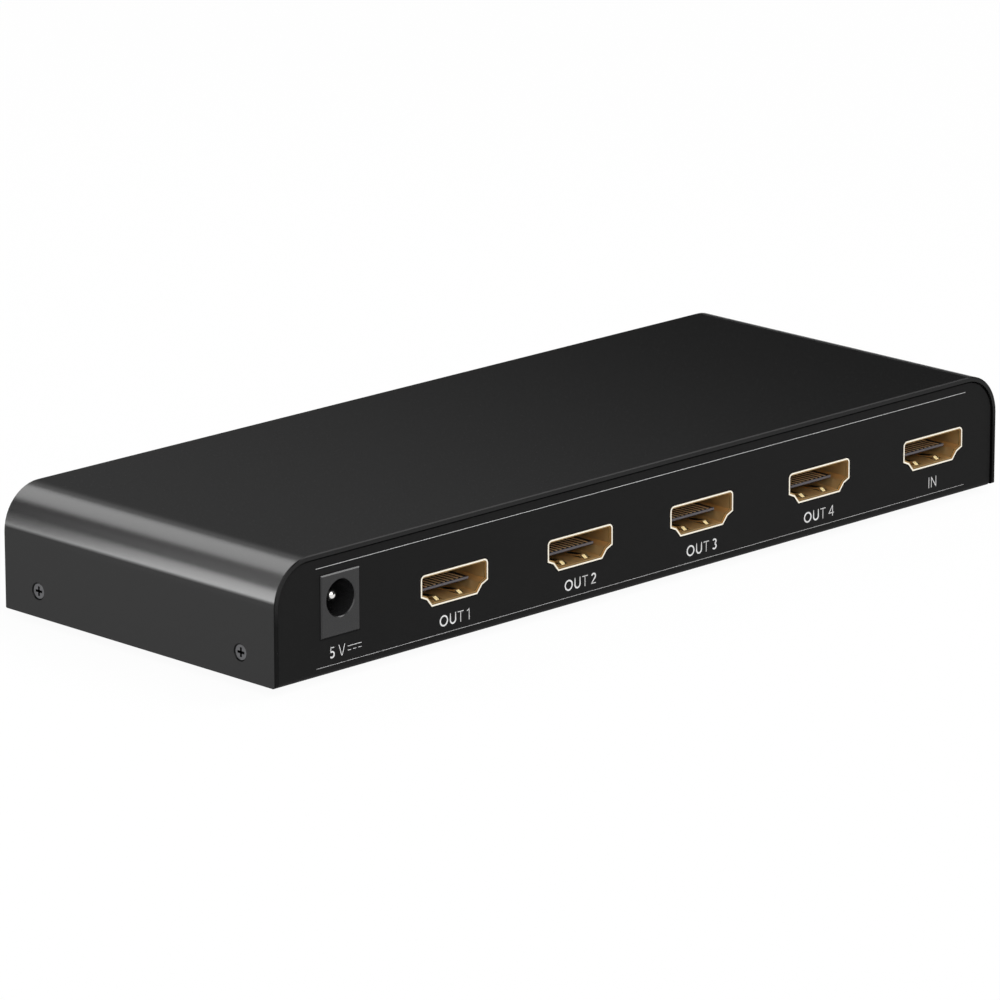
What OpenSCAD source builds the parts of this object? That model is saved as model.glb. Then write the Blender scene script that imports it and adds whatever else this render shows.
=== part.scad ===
// Video splitter: one input and four outputs in a folded sheet-metal case.
// Millimetres, +Z up. The origin is on the surface the splitter stands on, under the middle of its case.
// The sockets face -Y and the status lights face +Y.

/* [Case] */
// Width of the case, along the row of sockets
case_w = 170; // [150:1:200]
// Depth of the case, from the socket side to the light side
case_d = 64; // [62:1:90]
// Height of the case without its feet
case_h = 20.45; // [19:0.05:30]
// Outside radius of the cover's two long bends
cover_r = 7.4; // [3:0.1:9]
// Sheet thickness of the cover
cover_t = 0.8; // [0.6:0.1:1.2]
// Chamfer round the open ends of the cover
cover_chamfer = 0.15; // [0.1:0.05:0.4]
// Radius of the lower corners of the cover's sides
cover_corner_r = 0.5; // [0.2:0.1:2]
// Height of the cover's lower edges above the case's underside
cover_rise = 0.25; // [0:0.05:1]
// Sheet thickness of the base
base_t = 0.8; // [0.6:0.1:1.2]
// Inside radius of the bends in the base
base_bend_in = 0.1; // [0.05:0.05:1]
// Gap between the cover and the base
case_gap = 0.3; // [0.1:0.05:0.4]
// Distance of the end panels behind the cover's ends
panel_recess = 0.3; // [0.3:0.05:1]
// Height of the base's side flanges
flange_h = 9; // [7:0.5:11]
// How far the flanges reach past the outer screws
flange_end = 3; // [2:0.1:3.2]
// Width of the relief slots at the flanges' ends
relief_w = 0.8; // [0.5:0.1:1.2]

/* [Cover screws] */
// Shank diameter of a cover screw
screw_d = 1.7; // [1.4:0.1:1.9]
// Head diameter of a cover screw
screw_head_d = 2.5; // [2.3:0.05:2.7]
// Length of a cover screw, head included
screw_l = 4; // [3.5:0.5:5]
// Diameter of the countersink in the cover
countersink_d = 2.95; // [2.8:0.05:3.4]
// Distance of the first screw from the cover's socket end
screw_y = 7.95; // [6.5:0.05:9]
// Distance between the two screws of a side
screw_pitch = 47.9; // [44:0.1:49]
// Height of the screws above the case's underside
screw_z = 4.65; // [3.5:0.05:6]
// Width of the arms of the screws' cross recess
cross_w = 0.42; // [0.3:0.02:0.5]
// Length of the arms of the screws' cross recess, end to end
cross_l = 1.6; // [1.2:0.1:1.8]
// Depth of the screws' cross recess
cross_deep = 0.5; // [0.3:0.05:0.7]
// Outside diameter of the threaded collars in the flanges
collar_d = 3.2; // [2.8:0.1:3.8]
// Length of the threaded collars behind the flanges
collar_l = 1.2; // [0.8:0.1:1.6]

/* [Feet] */
// Diameter of a foot where it is stuck on
foot_d = 8; // [6:0.5:10]
// Diameter of a foot where it stands
foot_tread_d = 7; // [5:0.5:9]
// Height of a foot
foot_h = 1.25; // [1:0.05:4]
// Distance of the feet's middles from the case's sides
foot_x = 13; // [9:0.5:20]
// Distance of the feet's middles from the cover's ends
foot_y = 11; // [8:0.5:16]

/* [Circuit board] */
// Thickness of the board
board_t = 1.6; // [1:0.2:2]
// Height of the board's underside above the case's underside
board_z = 4.55; // [3:0.05:5]
// Distance of the board's short edges from the case's sides
board_side = 5.5; // [5.2:0.1:7]
// Gap between the board and the socket panel
board_front = 0.5; // [0.3:0.1:1]
// Gap between the board and the light panel
board_rear = 3.2; // [2.5:0.1:6]
// Distance of the fixing holes from the case's sides
fixing_x = 13; // [11:0.5:15]
// Distance of the first pair of fixing holes from the socket panel
fixing_front = 21; // [19:0.5:23]
// Distance of the second pair of fixing holes from the light panel
fixing_rear = 18; // [16:0.5:24]
// Width of a standoff across its flats
standoff_w = 4.5; // [4:0.1:6]
// Diameter of the spigot that clinches a standoff into the floor
spigot_d = 3.2; // [2.5:0.1:3.6]
// Shank diameter of a board screw
board_screw_d = 2; // [1.6:0.1:2.5]
// Head diameter of a board screw
board_head_d = 3.8; // [3.4:0.1:4.5]
// Head height of a board screw
board_head_h = 1.4; // [1:0.1:2]
// Gap under a board screw's tip in its standoff
board_screw_gap = 0.6; // [0.3:0.1:1]

/* [Video sockets] */
// Distance of the first socket's middle from the case's left side
socket_x = 39.6; // [36:0.1:42]
// Distance of the last socket's middle from the case's right side
socket_end = 15.9; // [12:0.1:30]
// Width of a socket's opening
open_w = 14; // [13.9:0.05:14.2]
// Height of a socket's opening
open_h = 4.55; // [4.5:0.05:4.8]
// Radius of the opening's upper corners
open_r = 0.35; // [0.2:0.05:0.6]
// Height at which the opening's upright sides end
side_z = 1.75; // [1.5:0.05:2]
// Width between the kinks of the opening's shoulders
kink_w = 11.75; // [11:0.05:12.5]
// Height of the kinks of the opening's shoulders
kink_z = 1.25; // [0.9:0.05:1.4]
// Width of the opening's flat floor
floor_w = 9.7; // [9:0.1:10.5]
// Wall of a socket's shell
shell_t = 0.3; // [0.25:0.01:0.35]
// Length of a socket's shell
shell_l = 10.5; // [10:0.1:11.5]
// How far the shell's lip stands out from its wall
lip_out = 0.2; // [0.1:0.01:0.25]
// How far the lip is opened inside
lip_in = 0.24; // [0.05:0.01:0.25]
// Depth of that opened stretch
lip_in_l = 0.2; // [0.1:0.05:0.25]
// Length of the shell's lip
lip_l = 0.5; // [0.3:0.05:0.6]
// Height of the lip above the board
socket_lift = 0.3; // [0.1:0.05:0.5]
// Gap round a socket's lip in the panel
socket_gap = 0.15; // [0.1:0.01:0.3]
// Distance of the tongue's tip behind the lip
tongue_y = 2.6; // [2.5:0.1:3]
// Width of the tongue
tongue_w = 11.3; // [11:0.1:11.5]
// Thickness of the tongue
tongue_t = 0.55; // [0.5:0.05:0.85]
// Height of the tongue's underside above the opening's floor
tongue_z = 1.3; // [1.2:0.05:1.5]
// Distance of the insulator's wall behind the lip
wall_y = 7.6; // [7.2:0.1:8]
// Length of the insulator's heel behind the shell
heel_l = 0.9; // [0.6:0.1:1.2]
// Distance between neighbouring contacts of one row
contact_pitch = 1; // [0.98:0.01:1.05]
// Number of contacts on the tongue's upper face
upper_contacts = 10; // [2:1:10]
// Number of contacts on the tongue's lower face
lower_contacts = 9; // [2:1:9]
// Width of a contact
contact_w = 0.38; // [0.3:0.01:0.4]
// Thickness of a contact
contact_t = 0.2; // [0.15:0.01:0.22]
// How far a contact stands out of the tongue
contact_proud = 0.05; // [0.02:0.01:0.08]
// Chamfer under the tongue's tip
tongue_tip = 0.18; // [0.05:0.01:0.2]
// Distance of the contacts' ends behind the tongue's tip
contact_set = 0.3; // [0.2:0.05:0.5]
// Length of a contact's foot on the board
contact_foot = 1; // [0.6:0.1:1.4]
// Distance of the spring fingers from the socket's middle
finger_x = 2.6; // [2.4:0.05:3]
// Width of a spring finger
finger_w = 1.2; // [1:0.05:1.4]
// Thickness of a spring finger
finger_t = 0.24; // [0.2:0.01:0.25]
// Length of a spring finger's crown
finger_crown = 0.6; // [0.4:0.05:0.8]
// Distance of the crown behind the finger's tip
finger_lead = 0.8; // [0.5:0.05:0.8]
// Gap beside a spring finger
finger_gap = 0.3; // [0.2:0.05:0.4]
// Distance of the lower fingers' tips behind the lip
finger_y = 1.2; // [1.2:0.05:1.6]
// Distance of the upper fingers' tips behind the lip
upper_finger_y = 2.9; // [2.8:0.05:3.2]
// Length of a spring finger
finger_l = 4.2; // [3.6:0.1:4.2]
// Height of a spring finger's crown above the shell's wall
finger_rise = 0.3; // [0.2:0.02:0.36]
// How far a spring finger's tip dips into the shell's wall
finger_dip = 0.15; // [0:0.01:0.2]
// Width of a shell leg
leg_w = 1.2; // [1:0.1:1.4]
// Distance of the shell's front legs behind the lip
leg_front = 3; // [2:0.1:4]
// Distance of the shell's rear legs behind the lip
leg_rear = 9; // [8:0.1:9.3]
// How far the legs come out under the board
leg_out = 0.8; // [0.4:0.1:1]

/* [Power jack] */
// Distance of the jack's middle from the case's left side
jack_x = 14.35; // [14:0.05:18]
// Width of the jack's face
jack_w = 8.4; // [8.2:0.05:9]
// Height of the jack's face
jack_h = 10.4; // [10.2:0.1:11.5]
// Length of the jack
jack_l = 13.4; // [13:0.1:14]
// Length of the jack's square front
jack_front = 4.2; // [3.5:0.1:5]
// Chamfer round the jack's face
jack_edge = 0.2; // [0.05:0.05:0.3]
// How far the jack's face stands out of the panel
jack_proud = 0.25; // [0.1:0.05:0.3]
// Gap round the jack's face in the panel
jack_gap = 0.1; // [0.05:0.01:0.2]
// Height of the jack's bore above the board
jack_bore_z = 6.1; // [5.8:0.1:6.3]
// Diameter of the jack's bore
jack_bore_d = 6.05; // [5.9:0.05:6.4]
// Depth of the jack's bore
jack_bore_l = 10; // [9.5:0.1:11]
// Chamfer round the mouth of the bore
jack_chamfer = 0.15; // [0.1:0.01:0.3]
// Step from the jack's front to its barrel
jack_shoulder = 0.5; // [0.3:0.05:0.8]
// Diameter of the jack's centre pin
jack_pin_d = 2; // [1.95:0.05:2.5]
// Diameter of the pin's shank in the jack's rear wall
jack_shank_d = 2.8; // [2.6:0.1:3.2]
// Distance of the pin's tip behind the jack's face
jack_pin_y = 1.5; // [1.3:0.1:2.5]
// Width of the jack's terminals
tab_w = 2.2; // [1.8:0.1:2.6]
// Thickness of the jack's terminals
tab_t = 0.4; // [0.3:0.05:0.5]
// How far the jack's terminals come out under the board
tab_out = 1; // [0.6:0.1:1.2]
// Width of the jack's sleeve spring
spring_w = 2.2; // [1.8:0.1:2.6]
// Thickness of the jack's sleeve spring
spring_t = 0.3; // [0.2:0.05:0.4]
// How far the sleeve spring reaches into the bore
spring_rise = 0.35; // [0.2:0.05:0.5]
// Distance of the sleeve spring's tip behind the jack's face
spring_y = 3.2; // [3:0.1:4]
// Room under the sleeve spring in the jack
spring_room = 0.3; // [0.2:0.05:0.5]
// Distance of the sleeve spring's terminal behind the jack's face
spring_tab_y = 8.6; // [8.2:0.1:9]

/* [Status lights] */
// Number of lights: power, input and one for each output
light_count = 6; // [1:1:8]
// Distance between the lights
light_pitch = 12; // [8:0.5:14]
// Diameter of a light pipe
pipe_d = 2; // [1.6:0.1:2.2]
// Diameter of a light pipe's collar
pipe_collar_d = 3; // [2.6:0.1:3.2]
// Length of a light pipe's collar
pipe_collar_l = 0.8; // [0.5:0.1:1]
// How far a light pipe stands out of the panel
pipe_proud = 0.2; // [0.1:0.05:0.25]
// Width of a light
light_w = 3; // [2.4:0.1:3.4]
// Depth of a light
light_d = 1.4; // [1.2:0.1:1.8]
// Height of a light
light_h = 2; // [1.8:0.1:2.4]
// Diameter of the window in a light's face
light_window_d = 1.4; // [1:0.1:1.6]
// Depth of the window in a light's face
light_window_deep = 0.5; // [0.3:0.1:0.8]
// Gap between a light and its pipe
light_gap = 0.15; // [0.1:0.05:0.3]

/* [Splitter chip] */
// Distance of the chip's middle from the case's middle, along the sockets
chip_x = 12; // [6:1:18]
// Distance of the chip's middle from the socket panel
chip_y = 34; // [32:0.5:36]
// Side of the chip's body
chip_w = 14; // [12:0.5:16]
// Thickness of the chip's body
chip_t = 1.4; // [1:0.1:1.6]
// Diameter of the mark at a chip's first lead
mark_d = 0.8; // [0.5:0.1:1.2]
// Depth of the mark at a chip's first lead
mark_deep = 0.15; // [0.1:0.01:0.3]
// Distance of the mark from the chip's edges
mark_set = 1; // [0.8:0.1:1.4]
// Gap under the chip's body
chip_lift = 0.1; // [0.05:0.01:0.2]
// Number of leads on a side of the chip
lead_count = 16; // [8:1:16]
// Distance between the chip's leads
lead_pitch = 0.7; // [0.6:0.05:0.75]
// Width of a lead
lead_w = 0.35; // [0.25:0.01:0.4]
// Thickness of a lead
lead_t = 0.15; // [0.1:0.01:0.2]
// How far a lead reaches from the body
lead_reach = 1; // [0.8:0.1:1.2]
// Thickness of the thermal pad
pad_t = 0.5; // [0.3:0.1:1]
// Side of the heat sink
sink_w = 20; // [18:0.5:22]
// Thickness of the heat sink's plate
sink_t = 1.5; // [1:0.1:2]
// Height of the heat sink's fins
sink_fin_h = 5; // [3:0.5:6]
// Number of the heat sink's fins
sink_fins = 7; // [4:1:8]
// Thickness of a fin
sink_fin_t = 1; // [0.6:0.1:1.2]

/* [Small parts] */
// Length of a small chip's body
small_chip_l = 4.9; // [4.5:0.1:5.2]
// Width of a small chip's body
small_chip_w = 3.9; // [3.5:0.1:4.2]
// Thickness of a small chip's body
small_chip_t = 1.4; // [1:0.1:1.6]
// Number of leads on a side of a small chip
small_leads = 4; // [2:1:4]
// Distance between a small chip's leads
small_lead_pitch = 1.27; // [1:0.01:1.3]
// Distance of the memory from the chip's middle, to its left
memory_x = 26; // [20:1:37]
// Distance of the memory from the socket panel
memory_y = 38; // [26:1:44]
// Distance of the regulator from the case's left side
regulator_x = 29; // [25:1:31]
// Distance of the regulator from the socket panel
regulator_y = 24; // [23:0.5:26]
// Distance of the inductor from the case's left side
inductor_x = 28; // [23:1:31]
// Distance of the inductor from the socket panel
inductor_y = 34; // [31:0.5:42]
// Side of the inductor
inductor_w = 6; // [5:0.5:7]
// Height of the inductor
inductor_h = 3; // [2:0.1:4]
// Radius of the inductor's corners
inductor_r = 0.8; // [0.4:0.1:1.2]
// Diameter of the dish in the inductor's top
inductor_dish_d = 4.4; // [3.5:0.1:4.8]
// Depth of the dish in the inductor's top
inductor_dish_deep = 0.4; // [0.2:0.05:0.6]
// Distance of the can capacitors from the case's left side
can_x = 39; // [37:0.5:55]
// Distance of the first can capacitor from the socket panel
can_y = 24; // [24:0.5:32]
// Distance between the can capacitors
can_pitch = 10; // [8:0.5:14]
// Number of can capacitors
can_count = 2; // [1:1:3]
// Diameter of a capacitor can
can_d = 6.3; // [5:0.1:6.6]
// Height of a capacitor with its base
can_h = 5.8; // [5.4:0.1:8]
// Height of a capacitor's base
can_base_h = 1; // [0.8:0.1:1.4]
// How far a capacitor's base stands out round the can
can_base_out = 0.15; // [0.1:0.05:0.3]
// Cut at two corners of a capacitor's base
can_base_cut = 1.1; // [0.8:0.1:1.5]
// Radius of the rolled groove and of the upper edge of a can
can_roll_r = 0.4; // [0.3:0.05:0.5]
// Height of the rolled groove above the can's foot
can_groove_z = 1.2; // [1:0.1:1.6]
// Distance of the clock crystal from the chip's middle, to its right
crystal_x = 22; // [18:1:38]
// Distance of the clock crystal from the socket panel
crystal_y = 38; // [26:1:46]
// Length of the crystal's can
crystal_l = 10.2; // [9:0.1:11]
// Width of the crystal's can
crystal_w = 3.6; // [3:0.1:4]
// Height of the crystal's can
crystal_h = 3.5; // [2.5:0.1:4]
// Width of the rim round the foot of the crystal's can
crystal_rim = 0.4; // [0.2:0.1:0.6]
// Height of that rim
crystal_rim_h = 0.5; // [0.3:0.1:0.8]
// Distance of the surge arrays and coupling capacitors behind the sockets' contacts
row_gap = 1.2; // [0.8:0.1:2]
// Length of a surge array
array_l = 3; // [2:0.1:4]
// Width of a surge array
array_w = 1.6; // [1.2:0.1:2]
// Height of a surge array
array_h = 0.8; // [0.5:0.1:1.2]
// Number of coupling capacitors behind each socket
coupling_count = 8; // [2:1:10]
// Distance between the coupling capacitors
coupling_pitch = 1.1; // [1:0.05:1.2]
// Width of a coupling capacitor
coupling_w = 0.6; // [0.4:0.05:0.8]
// Length of a coupling capacitor
coupling_l = 1.1; // [0.8:0.1:1.4]
// Height of a coupling capacitor
coupling_h = 0.5; // [0.3:0.05:0.7]

/* [Fits] */
// Clearance round a piece that another locates
slip = 0.03; // [0.01:0.01:0.05]
// Clearance round a piece that passes freely
free = 0.15; // [0.1:0.01:0.2]

/* [Hidden] */
SOCKETS = ["output_1", "output_2", "output_3", "output_4", "input"];
$fn = 48;
// Overshoot of a cut past the face it opens
past = 1;

// Base: outside radius of its bends, then its panels' outer faces, width, height and corner radius
base_bend_r = base_t + base_bend_in;
panel_y = case_d / 2 - panel_recess;
panel_w = case_w - 2 * (cover_t + case_gap);
panel_h = case_h - cover_t - case_gap;
panel_r = cover_r - cover_t - case_gap;

// Board: upper face, outline and fixing holes
board_top = board_z + board_t;
board_w = case_w - 2 * board_side;
board_y0 = base_t + board_front - panel_y;
board_y1 = panel_y - base_t - board_rear;
fixings = [
    for (x = [-1, 1], y = [fixing_front - panel_y, panel_y - fixing_rear])
        [x * (case_w / 2 - fixing_x), y]
];
standoff_h = board_z - base_t;

// Cover screws: places along the case, and how far the heads sink to seat in their countersinks
screw_ys = [for (k = [0, 1]) screw_y + k * screw_pitch - case_d / 2];
screw_sink = (countersink_d - screw_head_d) / 2;
screw_hole_d = screw_d + 2 * free;
flange_y = [screw_ys[0] - flange_end, screw_ys[1] + flange_end];

// Places on the board, from the case's middle and from the socket panel
memory_at = [chip_x - memory_x, memory_y];
crystal_at = [chip_x + crystal_x, crystal_y];
regulator_at = [regulator_x - case_w / 2, regulator_y];
inductor_at = [inductor_x - case_w / 2, inductor_y];
cans_at = [for (k = [0 : can_count - 1]) [can_x - case_w / 2, can_y + k * can_pitch]];

// Sockets: the frame of a socket has its origin at the lip's face, in the middle of the opening's floor
socket_pitch = (case_w - socket_x - socket_end) / (len(SOCKETS) - 1);
lip_rim = shell_t + lip_out;
socket_z = board_top + socket_lift + lip_rim;
board_drop = socket_lift + lip_rim;
heel_y = shell_l + heel_l;
contact_bend = heel_y + slip;
contact_rows = [
    [upper_contacts, tongue_z + tongue_t + contact_proud],
    [lower_contacts, tongue_z - contact_proud + contact_t]
];
coupling_y = contact_bend + contact_t + contact_foot + row_gap;
array_y = coupling_y + coupling_l + row_gap;
leg_ys = [leg_front, leg_rear];

// Jack: lowest face of the sleeve spring, and where the free length of the pin starts behind its round tip
spring_z = jack_bore_z - jack_bore_d / 2 - spring_t - spring_room;
pin_y = jack_pin_y + jack_pin_d / 2;

// Lights: middle of the lights above the case's underside
light_z = board_top + light_h / 2;

function socket_at(i) = socket_x + i * socket_pitch - case_w / 2;
function light_at(i) = (i - (light_count - 1) / 2) * light_pitch;
function on_board(at) = [at[0], at[1] - panel_y, board_top];
function unit(v) = v / norm(v);
function outward(a, b) = let (u = unit(b - a)) [u[1], -u[0]];

// Corner i of an outline that runs anticlockwise, moved out so that both its edges move out by g
function moved_corner(points, i, g) =
    let (
        n = len(points),
        before = outward(points[(i + n - 1) % n], points[i]),
        after = outward(points[i], points[(i + 1) % n])
    )
    points[i] + g * (before + after) / (1 + before * after);

function arc(centre, r, from, to, steps) =
    [for (k = [0 : steps]) let (a = from + (to - from) * k / steps) centre + r * [cos(a), sin(a)]];

// A socket's opening grown by g all round, its upper corners round
function opening(g) =
    let (
        half = [[floor_w / 2, 0], [kink_w / 2, kink_z], [open_w / 2, side_z]],
        sharp = concat(
            half,
            [[open_w / 2, open_h], [-open_w / 2, open_h]],
            [for (k = [2, 1, 0]) [-half[k][0], half[k][1]]]
        ),
        centre = [open_w / 2 - open_r, open_h - open_r]
    )
    concat(
        [for (i = [5, 6, 7, 0, 1, 2]) moved_corner(sharp, i, g)],
        arc(centre, open_r + g, 0, 90, 6),
        arc([-centre[0], centre[1]], open_r + g, 90, 180, 6)
    );

// Helpers
module lifted() { translate([0, 0, foot_h]) children(); }

// Extrudes an outline drawn in X and Z
module along_y(y0, y1) { translate([0, y1, 0]) rotate([90, 0, 0]) linear_extrude(y1 - y0) children(); }

// Extrudes an outline drawn in Y and Z
module along_x(x0, x1) { translate([x0, 0, 0]) rotate([90, 0, 90]) linear_extrude(x1 - x0) children(); }

module both_sides() { children(); mirror([1, 0, 0]) children(); }

// Upright outline on the ground with round upper corners
module arch(w, h, r) {
    translate([-w / 2, 0]) square([w, h - r]);
    translate([r - w / 2, 0]) square([w - 2 * r, h]);
    for (side = [-1, 1]) translate([side * (w / 2 - r), h - r]) circle(r);
}

module rounded_square(w, l, r) {
    square([w - 2 * r, l], center = true);
    square([w, l - 2 * r], center = true);
    for (x = [-1, 1], y = [-1, 1]) translate([x * (w / 2 - r), y * (l / 2 - r)]) circle(r);
}

// Section of a sheet that turns up from a floor on the +X side, its outer faces on both axes
module turned_up(h) {
    difference() {
        union() {
            translate([0, base_bend_r]) square([base_t, h - base_bend_r]);
            intersection() {
                translate([base_bend_r, base_bend_r]) circle(base_bend_r);
                square(base_bend_r);
            }
        }
        translate([base_bend_r, base_bend_r]) circle(base_bend_r - base_t);
    }
}

// Block from corner to corner
module block(low, high) { translate(low) cube(high - low); }

// Case
// Section of the cover's sheet, from its inner face out, with both ends chamfered outside
module cover_strip() {
    c = cover_chamfer;
    e = case_d / 2;
    polygon([[0, -e], [cover_t - c, -e], [cover_t, c - e], [cover_t, e - c], [cover_t - c, e], [0, e]]);
}

module cover_sheet() {
    flat_w = case_w - 2 * cover_r;
    side_h = case_h - cover_r;
    translate([flat_w / 2, 0, case_h - cover_t]) rotate([0, -90, 0]) linear_extrude(flat_w) cover_strip();
    both_sides() {
        translate([case_w / 2 - cover_t, 0, cover_rise]) linear_extrude(side_h - cover_rise) cover_strip();
        translate([flat_w / 2, 0, side_h]) rotate([90, 0, 0])
            rotate_extrude(angle = 90) translate([cover_r - cover_t, 0]) cover_strip();
    }
}

// A cover screw's place on the right side, its axis along X from the cover's face inwards
module at_cover_screws() {
    both_sides() for (y = screw_ys) translate([case_w / 2, y, screw_z]) rotate([0, -90, 0]) children();
}

module top_cover() {
    color([0.16, 0.16, 0.165]) lifted() difference() {
        intersection() {
            cover_sheet();
            along_x(-case_w / 2, case_w / 2)
                translate([0, case_h]) mirror([0, 1]) arch(case_d, case_h - cover_rise, cover_corner_r);
        }
        at_cover_screws() {
            cylinder(d1 = countersink_d, d2 = screw_hole_d, h = (countersink_d - screw_hole_d) / 2);
            translate([0, 0, -past]) cylinder(d = screw_hole_d, h = cover_t + 2 * past);
        }
    }
}

module base_floor() {
    edge_x = panel_w / 2 - base_bend_r;
    slots = [flange_y[0] - relief_w, flange_y[1] + relief_w];
    difference() {
        block([-panel_w / 2, base_bend_r - panel_y, 0], [panel_w / 2, panel_y - base_bend_r, base_t]);
        both_sides() block([edge_x, slots[0], -past], [panel_w / 2 + past, slots[1], base_t + past]);
        for (at = fixings) translate([at[0], at[1], -past])
            cylinder(d = spigot_d + 2 * slip, h = base_t + 2 * past);
    }
}

module base_panel() {
    intersection() {
        along_x(-panel_w / 2, panel_w / 2) translate([-panel_y, 0]) turned_up(panel_h);
        along_y(-panel_y - past, panel_y) arch(panel_w, panel_h, panel_r);
    }
}

module base_flanges() {
    both_sides() along_y(flange_y[0], flange_y[1]) translate([-panel_w / 2, 0]) turned_up(flange_h);
    at_cover_screws() translate([0, 0, cover_t + case_gap + base_t / 2])
        cylinder(d = collar_d, h = base_t / 2 + collar_l);
}

module socket_cutouts() {
    for (i = [0 : len(SOCKETS) - 1]) translate([socket_at(i), 0, socket_z])
        along_y(-panel_y - past, base_t + past - panel_y) polygon(opening(lip_rim + socket_gap));
    g = jack_gap;
    translate([jack_x - case_w / 2, 0, board_top])
        block([-jack_w / 2 - g, -panel_y - past, -g], [jack_w / 2 + g, base_t + past - panel_y, jack_h + g]);
}

module base_tray() {
    color([0.14, 0.14, 0.145]) lifted() difference() {
        union() {
            base_floor();
            base_panel();
            mirror([0, 1, 0]) base_panel();
            base_flanges();
        }
        socket_cutouts();
        at_cover_screws() cylinder(d = screw_d + 2 * slip, h = screw_l + past);
        for (i = [0 : light_count - 1]) translate([light_at(i), panel_y + past, light_z])
            rotate([90, 0, 0]) cylinder(d = pipe_d + 2 * slip, h = base_t + 2 * past);
    }
}

module cross_recess(w, l, deep) {
    for (turn = [0, 90]) rotate(turn) translate([-l / 2, -w / 2, -past]) cube([l, w, deep + past]);
}

module cover_screws() {
    head_h = (screw_head_d - screw_d) / 2;
    color([0.32, 0.32, 0.33]) lifted() at_cover_screws() translate([0, 0, screw_sink - slip]) difference() {
        union() {
            cylinder(d1 = screw_head_d, d2 = screw_d, h = head_h);
            cylinder(d = screw_d, h = screw_l - screw_sink);
        }
        cross_recess(cross_w, cross_l, cross_deep);
    }
}

module rubber_feet() {
    color([0.08, 0.08, 0.08])
        for (x = [-1, 1], y = [-1, 1]) translate([x * (case_w / 2 - foot_x), y * (case_d / 2 - foot_y), 0])
            cylinder(d1 = foot_tread_d, d2 = foot_d, h = foot_h);
}

// Circuit board
module leg_slots() {
    for (i = [0 : len(SOCKETS) - 1], y = leg_ys) translate([socket_at(i), y - panel_y, 0]) both_sides()
        block(
            [open_w / 2 - free, -leg_w / 2 - free, board_z - past],
            [open_w / 2 + shell_t + free, leg_w / 2 + free, board_top + past]
        );
}

module tab_slots() {
    translate([jack_x - case_w / 2, -panel_y - jack_proud, 0]) for (y = [jack_l + slip, spring_tab_y])
        block(
            [-tab_w / 2 - free, y - free, board_z - past],
            [tab_w / 2 + free, y + tab_t + free, board_top + past]
        );
}

module circuit_board() {
    color([0.05, 0.25, 0.13]) lifted() difference() {
        block([-board_w / 2, board_y0, board_z], [board_w / 2, board_y1, board_top]);
        for (at = fixings) translate([at[0], at[1], board_z - past])
            cylinder(d = board_screw_d + 2 * free, h = board_t + 2 * past);
        leg_slots();
        tab_slots();
    }
}

module board_standoffs() {
    color([0.75, 0.7, 0.55]) lifted() for (at = fixings) translate([at[0], at[1], 0]) difference() {
        union() {
            translate([0, 0, base_t]) cylinder(d = standoff_w / cos(30), h = standoff_h, $fn = 6);
            cylinder(d = spigot_d, h = base_t);
        }
        translate([0, 0, base_t]) cylinder(d = board_screw_d + 2 * slip, h = standoff_h + past);
    }
}

module board_screws() {
    shank_l = board_t + standoff_h - board_screw_gap;
    color([0.7, 0.7, 0.72]) lifted() for (at = fixings) translate([at[0], at[1], board_top]) difference() {
        union() {
            cylinder(d = board_head_d, h = board_head_h);
            translate([0, 0, -shank_l]) cylinder(d = board_screw_d, h = shank_l);
        }
        translate([0, 0, board_head_h]) mirror([0, 0, 1]) cross_recess(cross_w, cross_l, cross_deep);
    }
}

// Video sockets
module at_socket(i) { lifted() translate([socket_at(i), -panel_y, socket_z]) children(); }

module shell_wall(y0, y1, inner, outer) {
    along_y(y0, y1) difference() {
        polygon(opening(outer));
        polygon(opening(inner));
    }
}

// Spring finger in the floor of a shell: its root in the wall, its crown inside near the tip at y
module finger(y) {
    root = y + finger_l;
    crown = [y + finger_lead, y + finger_lead + finger_crown];
    under = finger_rise - finger_t;
    along_x(-finger_w / 2, finger_w / 2) polygon([
        [root + past, -shell_t], [root + past, 0], [root, 0],
        [crown[1], finger_rise], [crown[0], finger_rise], [y, -finger_dip],
        [y, -finger_dip - finger_t], [crown[0], under], [crown[1], under], [root, -shell_t]
    ]);
}

// Both fingers of a wall, drawn as in the floor
module fingers(y) { for (side = [-1, 1]) translate([side * finger_x, 0, 0]) finger(y); }

module finger_windows(y) {
    w = finger_w / 2 + finger_gap;
    for (side = [-1, 1])
        block(
            [side * finger_x - w, y - finger_gap, -shell_t - past / 2],
            [side * finger_x + w, y + finger_l, finger_rise]
        );
}

module upside_down() { translate([0, 0, open_h]) mirror([0, 0, 1]) children(); }

module shell_legs() {
    for (y = leg_ys) both_sides()
        block(
            [open_w / 2, y - leg_w / 2, -board_drop - board_t - leg_out],
            [open_w / 2 + shell_t, y + leg_w / 2, open_h / 2]
        );
}

module socket_shell(i) {
    color([0.83, 0.68, 0.4]) at_socket(i) {
        difference() {
            union() {
                shell_wall(0, lip_in_l, lip_in, lip_rim);
                shell_wall(lip_in_l, lip_l, 0, lip_rim);
                shell_wall(lip_l, shell_l, 0, shell_t);
            }
            finger_windows(finger_y);
            upside_down() finger_windows(upper_finger_y);
        }
        fingers(finger_y);
        upside_down() fingers(upper_finger_y);
        shell_legs();
    }
}

// Places a child at every contact, and tells it the height of the contact's upper face
module each_contact() {
    for (row = contact_rows, k = [0 : row[0] - 1]) {
        $contact_z = row[1];
        translate([(k - (row[0] - 1) / 2) * contact_pitch, 0, $contact_z]) children();
    }
}

// Slot for a contact, from its front end to behind the insulator
module contact_slot() {
    w = contact_w / 2 + slip;
    block([-w, tongue_y + contact_set - slip, -contact_t - slip], [w, heel_y + past, slip]);
}

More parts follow.
